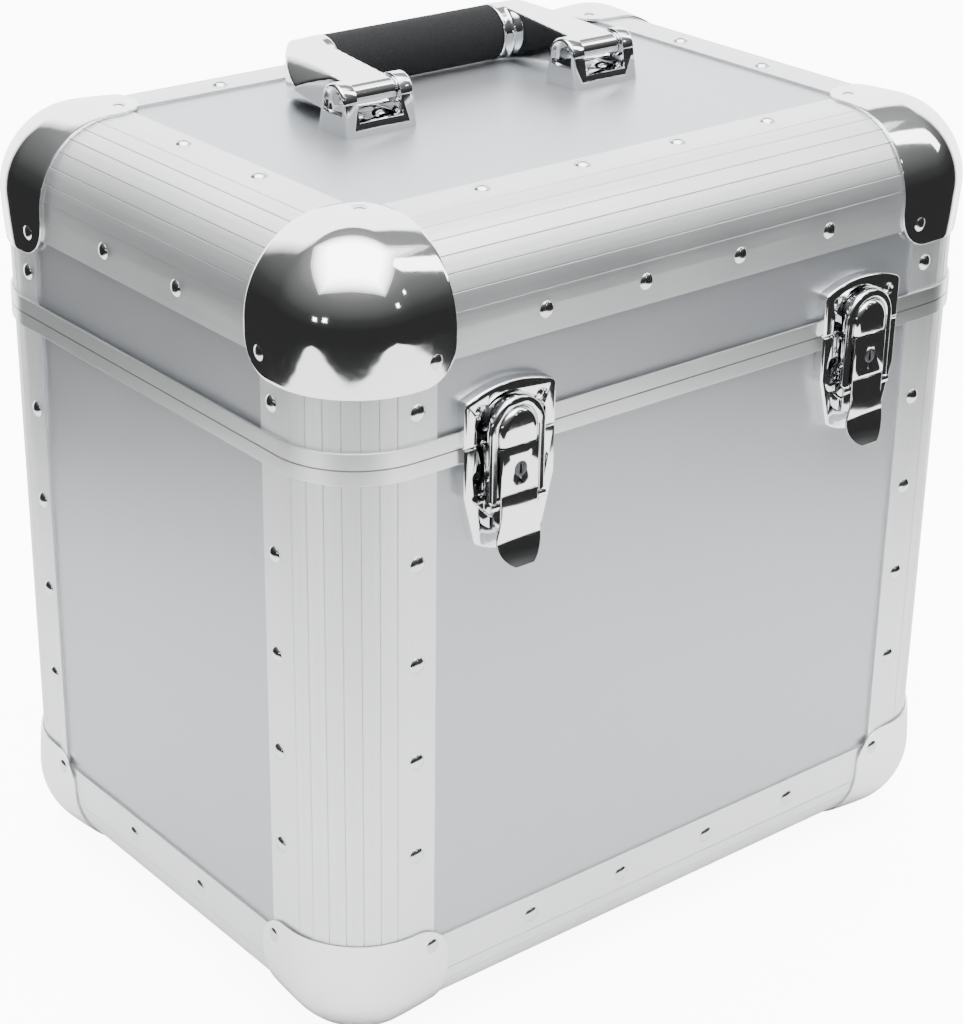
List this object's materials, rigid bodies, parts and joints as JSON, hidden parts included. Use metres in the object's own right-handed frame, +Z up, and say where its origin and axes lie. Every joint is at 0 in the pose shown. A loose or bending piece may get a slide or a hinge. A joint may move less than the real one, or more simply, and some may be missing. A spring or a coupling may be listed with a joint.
{
  "type": "record carrying case",
  "caption": "Carrying case for records: panels in grooved round aluminium profiles, chrome ball corners, hinged lid, draw latches with key locks and a fold-down handle.",
  "frame": {"origin": "on the floor under the middle of the case", "axes": "+X to the right along the front, +Y to the hinged back, +Z up"},
  "size_m": [0.368, 0.2909, 0.3852],
  "materials": {
    "panel_board": "plywood board faced with a satin silver-grey laminate",
    "profile_aluminium": "satin extruded and grooved",
    "rim_aluminium": "satin extruded",
    "corner_chrome": "bright nickel-chrome plated pressed steel",
    "fastener_steel": "bright plated",
    "foam_lining": "black foam with a fine cloth face",
    "hinge_steel": "plated sheet steel",
    "grip_foam": "matt black moulded foam",
    "pin_steel": "plated steel bar",
    "lock_steel": "turned plated steel",
    "latch_chrome": "polished chrome plated casting"
  },
  "bodies": {
    "body": {"bottom_panel": "panel_board", "body_front_panel": "panel_board", "body_back_panel": "panel_board", "body_left_panel": "panel_board", "body_right_panel": "panel_board", "bottom_front_profile": "profile_aluminium", "bottom_back_profile": "profile_aluminium", "bottom_left_profile": "profile_aluminium", "bottom_right_profile": "profile_aluminium", "corner_profile_front_left": "profile_aluminium", "corner_profile_front_right": "profile_aluminium", "corner_profile_back_left": "profile_aluminium", "corner_profile_back_right": "profile_aluminium", "bottom_cap_front_left": "corner_chrome", "bottom_cap_front_right": "corner_chrome", "bottom_cap_back_left": "corner_chrome", "bottom_cap_back_right": "corner_chrome", "body_rim": "rim_aluminium", "body_rivets": "fastener_steel", "floor_pad": "foam_lining", "hinge_body_leaves": "hinge_steel", "hinge_pins": "hinge_steel", "latch_base_plate_left": "latch_chrome", "latch_base_plate_right": "latch_chrome"},
    "lid": {"lid_top_panel": "panel_board", "lid_front_panel": "panel_board", "lid_back_panel": "panel_board", "lid_left_panel": "panel_board", "lid_right_panel": "panel_board", "top_front_profile": "profile_aluminium", "top_back_profile": "profile_aluminium", "top_left_profile": "profile_aluminium", "top_right_profile": "profile_aluminium", "lid_corner_profiles": "profile_aluminium", "ball_corner_front_left": "corner_chrome", "ball_corner_front_right": "corner_chrome", "ball_corner_back_left": "corner_chrome", "ball_corner_back_right": "corner_chrome", "lid_rim": "rim_aluminium", "lid_rivets": "fastener_steel", "lid_pad": "foam_lining", "hinge_lid_leaves": "hinge_steel", "catch_plate_left": "latch_chrome", "catch_plate_right": "latch_chrome", "catch_screws": "fastener_steel", "handle_bracket_left": "latch_chrome", "handle_bracket_right": "latch_chrome", "bracket_screws": "fastener_steel", "handle_pins": "pin_steel"},
    "handle": {"handle_arm_left": "latch_chrome", "handle_arm_right": "latch_chrome", "handle_grip": "grip_foam", "handle_core": "pin_steel"},
    "left_lever": {"latch_lever_left": "latch_chrome"},
    "left_loop": {"latch_loop_left": "latch_chrome"},
    "left_lock": {"lock_cylinder_left": "lock_steel"},
    "right_lever": {"latch_lever_right": "latch_chrome"},
    "right_loop": {"latch_loop_right": "latch_chrome"},
    "right_lock": {"lock_cylinder_right": "lock_steel"}
  },
  "joints": [
    {"name": "lid_hinge", "type": "hinge", "parent": "body", "child": "lid", "pos_m": [0, 0.13905, 0.2742], "axis": [-1, 0, 0], "range_deg": [0, 100]},
    {"name": "handle_pivot", "type": "hinge", "parent": "lid", "child": "handle", "pos_m": [0, 0.0038, 0.374], "axis": [1, 0, 0], "range_deg": [0, 183]},
    {"name": "left_lever_pivot", "type": "hinge", "parent": "body", "child": "left_lever", "pos_m": [-0.0993, -0.1414, 0.2706], "axis": [-1, 0, 0], "range_deg": [0, 100]},
    {"name": "left_loop_pivot", "type": "hinge", "parent": "left_lever", "child": "left_loop", "pos_m": [-0.0993, -0.1414, 0.2487], "axis": [1, 0, 0], "range_deg": [0, 100]},
    {"name": "left_lock_turn", "type": "hinge", "parent": "left_lever", "child": "left_lock", "pos_m": [-0.0993, -0.1425, 0.263], "axis": [0, 1, 0], "range_deg": [0, 90]},
    {"name": "right_lever_pivot", "type": "hinge", "parent": "body", "child": "right_lever", "pos_m": [0.0993, -0.1414, 0.2706], "axis": [-1, 0, 0], "range_deg": [0, 100]},
    {"name": "right_loop_pivot", "type": "hinge", "parent": "right_lever", "child": "right_loop", "pos_m": [0.0993, -0.1414, 0.2487], "axis": [1, 0, 0], "range_deg": [0, 100]},
    {"name": "right_lock_turn", "type": "hinge", "parent": "right_lever", "child": "right_lock", "pos_m": [0.0993, -0.1425, 0.263], "axis": [0, 1, 0], "range_deg": [0, 90]}
  ],
  "couplings": [
    {"joint": "left_loop_pivot", "follows": "left_lever_pivot", "ratio": 1},
    {"joint": "right_loop_pivot", "follows": "right_lever_pivot", "ratio": 1}
  ]
}
